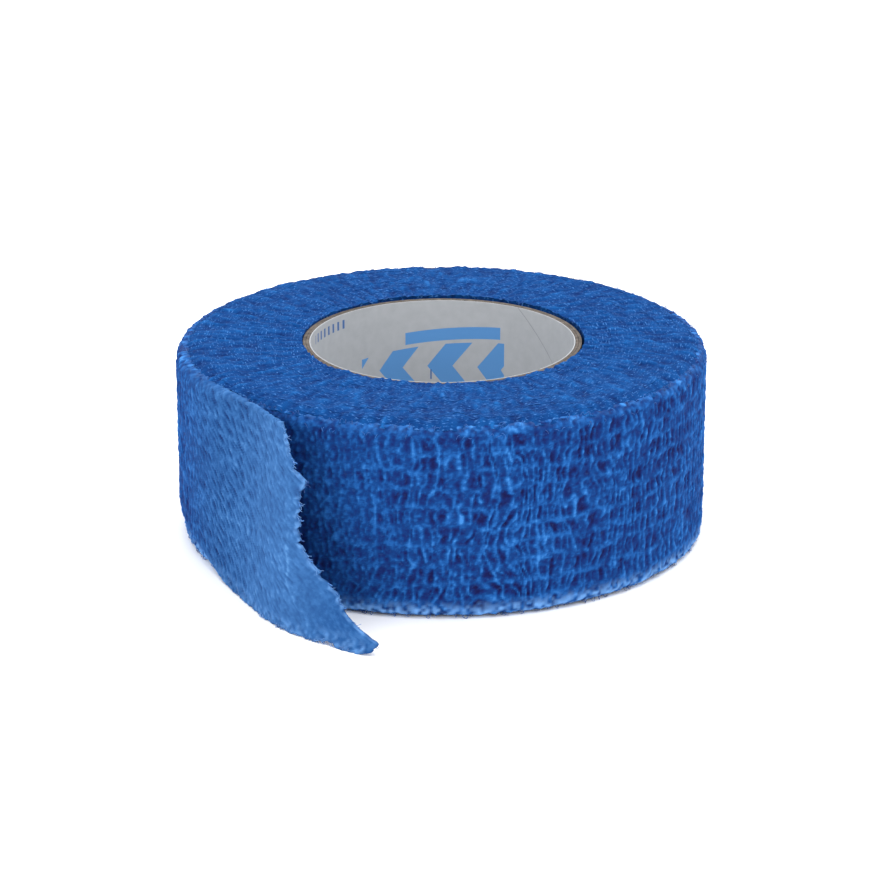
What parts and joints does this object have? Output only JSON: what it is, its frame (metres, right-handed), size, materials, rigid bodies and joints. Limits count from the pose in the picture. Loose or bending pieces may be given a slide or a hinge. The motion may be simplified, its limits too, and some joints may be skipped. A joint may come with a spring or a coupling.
{
  "type": "self-adherent hand wrap roll",
  "caption": "Roll of self-adherent elastic crepe hand wrap on a paper core, with its free end peeled off and hanging away from the roll.",
  "frame": {"origin": "centre of the core's lower end, in the plane that the roll stands on", "axes": "+Z along the core's axis, upwards; the free end leaves the roll at the left front, towards -X and -Y"},
  "size_m": [0.0683, 0.0805, 0.0254],
  "materials": {
    "crepe_web": "matt crepe nonwoven, royal blue",
    "elastic_yarn": "matt spandex yarn, dyed blue",
    "core_board": "grey-brown board",
    "liner_paper": "off-white paper with light blue print"
  },
  "bodies": {
    "roll": {"core_liner": "liner_paper", "core_inner_ply": "core_board", "core_outer_ply": "core_board", "wound_face_web": "crepe_web", "wound_back_web": "crepe_web", "wound_elastic_yarns": "elastic_yarn"},
    "lap_1": {"lap_1_face_web": "crepe_web", "lap_1_back_web": "crepe_web", "lap_1_yarns": "elastic_yarn"},
    "lap_2": {"lap_2_face_web": "crepe_web", "lap_2_back_web": "crepe_web", "lap_2_yarns": "elastic_yarn"},
    "lap_3": {"lap_3_face_web": "crepe_web", "lap_3_back_web": "crepe_web", "lap_3_yarns": "elastic_yarn"},
    "tail_base": {"tail_base_face_web": "crepe_web", "tail_base_back_web": "crepe_web", "tail_base_yarns": "elastic_yarn"},
    "tail_middle": {"tail_middle_face_web": "crepe_web", "tail_middle_back_web": "crepe_web", "tail_middle_yarns": "elastic_yarn"},
    "tail_end": {"tail_end_face_web": "crepe_web", "tail_end_back_web": "crepe_web", "tail_end_yarns": "elastic_yarn"}
  },
  "joints": [
    {"name": "peel_bend_1", "type": "hinge", "parent": "roll", "child": "lap_1", "pos_m": [-0.01623, 0.02993, 0.0127], "axis": [0, 0, -1], "range_deg": [0, 40]},
    {"name": "peel_bend_2", "type": "hinge", "parent": "lap_1", "child": "lap_2", "pos_m": [-0.02876, 0.01826, 0.0127], "axis": [0, 0, -1], "range_deg": [0, 40]},
    {"name": "peel_bend_3", "type": "hinge", "parent": "lap_2", "child": "lap_3", "pos_m": [-0.03406, 0.00198, 0.0127], "axis": [0, 0, -1], "range_deg": [0, 40]},
    {"name": "peel_line_bend", "type": "hinge", "parent": "lap_3", "child": "tail_base", "pos_m": [-0.0308, -0.01483, 0.0127], "axis": [0, 0, -1], "range_deg": [0, 60]},
    {"name": "tail_bend", "type": "hinge", "parent": "tail_base", "child": "tail_middle", "pos_m": [-0.02554, -0.02612, 0.0127], "axis": [0, 0, -1], "range_deg": [-5, 60]},
    {"name": "tail_end_bend", "type": "hinge", "parent": "tail_middle", "child": "tail_end", "pos_m": [-0.02012, -0.03631, 0.0127], "axis": [0, 0, -1], "range_deg": [-6, 60]}
  ]
}
